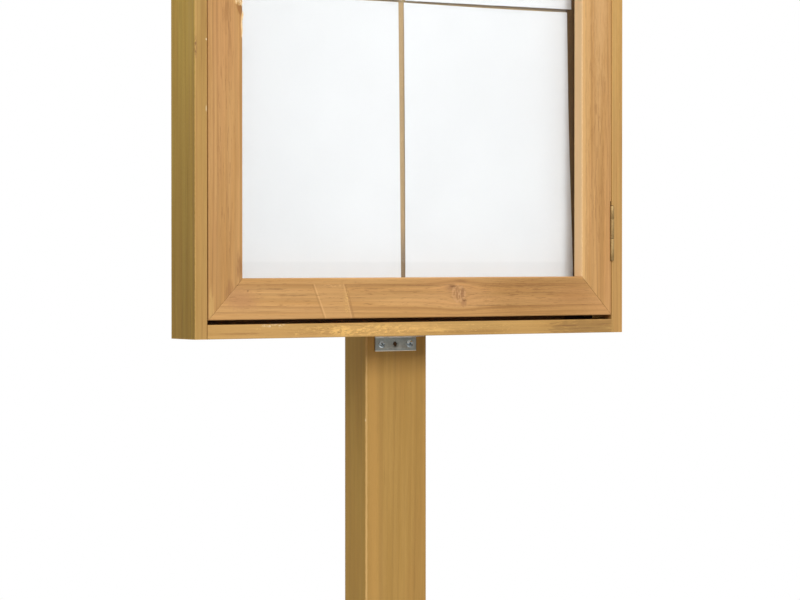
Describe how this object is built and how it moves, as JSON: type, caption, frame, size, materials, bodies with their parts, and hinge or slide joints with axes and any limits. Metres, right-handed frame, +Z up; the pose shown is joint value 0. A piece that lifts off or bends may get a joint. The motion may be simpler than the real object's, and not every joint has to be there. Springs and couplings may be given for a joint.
{
  "type": "lockable notice board",
  "caption": "Shallow wooden wall case with a glazed, mitred, lockable door on side hinges, holding blank notice sheets, carried on the front of one square-cut post.",
  "frame": {"origin": "middle of the post's square-cut foot, at the ground", "axes": "+X to the right along the board's width, +Y to the back, so the glazed front faces -Y, +Z up along the post"},
  "size_m": [0.521, 0.0898, 1.8],
  "materials": {
    "post_wood": "treated softwood, planed, matt",
    "case_wood": "treated softwood, planed, matt",
    "door_wood": "treated softwood, planed, matt",
    "plywood": "sanded plywood, matt",
    "dowel_wood": "raw beech, matt",
    "paper": "blank white sheet, matt",
    "clear_pane": "clear, polished",
    "zinc_steel": "zinc plated, satin",
    "brassed_steel": "brassed steel, dull",
    "nickel_plate": "nickel plated, bright"
  },
  "bodies": {
    "stand": {"post": "post_wood", "case_side_left": "case_wood", "case_side_right": "case_wood", "case_top_board": "case_wood", "case_bottom_board": "case_wood", "back_panel": "plywood", "corner_dowel_bottom_left_front": "dowel_wood", "corner_dowel_bottom_left_back": "dowel_wood", "corner_dowel_bottom_right_front": "dowel_wood", "corner_dowel_bottom_right_back": "dowel_wood", "corner_dowel_top_left_front": "dowel_wood", "corner_dowel_top_left_back": "dowel_wood", "corner_dowel_top_right_front": "dowel_wood", "corner_dowel_top_right_back": "dowel_wood", "panel_screw_lower_left": "zinc_steel", "panel_screw_lower_right": "zinc_steel", "panel_screw_upper_left": "zinc_steel", "panel_screw_upper_right": "zinc_steel", "notice_sheet_row_1_column_1": "paper", "notice_sheet_row_1_column_2": "paper", "notice_sheet_row_2_column_1": "paper", "notice_sheet_row_2_column_2": "paper", "angle_bracket": "zinc_steel", "bracket_post_screw_left": "zinc_steel", "bracket_post_screw_right": "zinc_steel", "bracket_board_screw_left": "zinc_steel", "bracket_board_screw_right": "zinc_steel", "hinge_lower_case_leaf": "brassed_steel", "hinge_lower_pin": "brassed_steel", "hinge_lower_case_screw_low": "brassed_steel", "hinge_lower_case_screw_high": "brassed_steel", "hinge_upper_case_leaf": "brassed_steel", "hinge_upper_pin": "brassed_steel", "hinge_upper_case_screw_low": "brassed_steel", "hinge_upper_case_screw_high": "brassed_steel", "lock_keeper": "zinc_steel", "keeper_screw_low": "zinc_steel", "keeper_screw_high": "zinc_steel"},
    "door": {"door_stile_lock": "door_wood", "door_stile_hinge": "door_wood", "door_rail_bottom": "door_wood", "door_rail_top": "door_wood", "window_pane": "clear_pane", "glazing_bead_left": "door_wood", "glazing_bead_right": "door_wood", "glazing_bead_bottom": "door_wood", "glazing_bead_top": "door_wood", "hinge_lower_door_leaf": "brassed_steel", "hinge_lower_door_screw_low": "brassed_steel", "hinge_lower_door_screw_high": "brassed_steel", "hinge_upper_door_leaf": "brassed_steel", "hinge_upper_door_screw_low": "brassed_steel", "hinge_upper_door_screw_high": "brassed_steel", "lock_body": "nickel_plate", "lock_nut": "nickel_plate"},
    "lock_core": {"lock_plug": "nickel_plate", "lock_cam": "zinc_steel", "lock_cam_screw": "zinc_steel"}
  },
  "joints": [
    {"name": "door_hinge", "type": "hinge", "parent": "stand", "child": "door", "pos_m": [0.24225, -0.0678, 1.455], "axis": [0, 0, 1], "range_deg": [0, 170]},
    {"name": "lock_turn", "type": "hinge", "parent": "door", "child": "lock_core", "pos_m": [-0.2301, -0.0672, 1.45625], "axis": [0, 1, 0], "range_deg": [0, 90]}
  ]
}
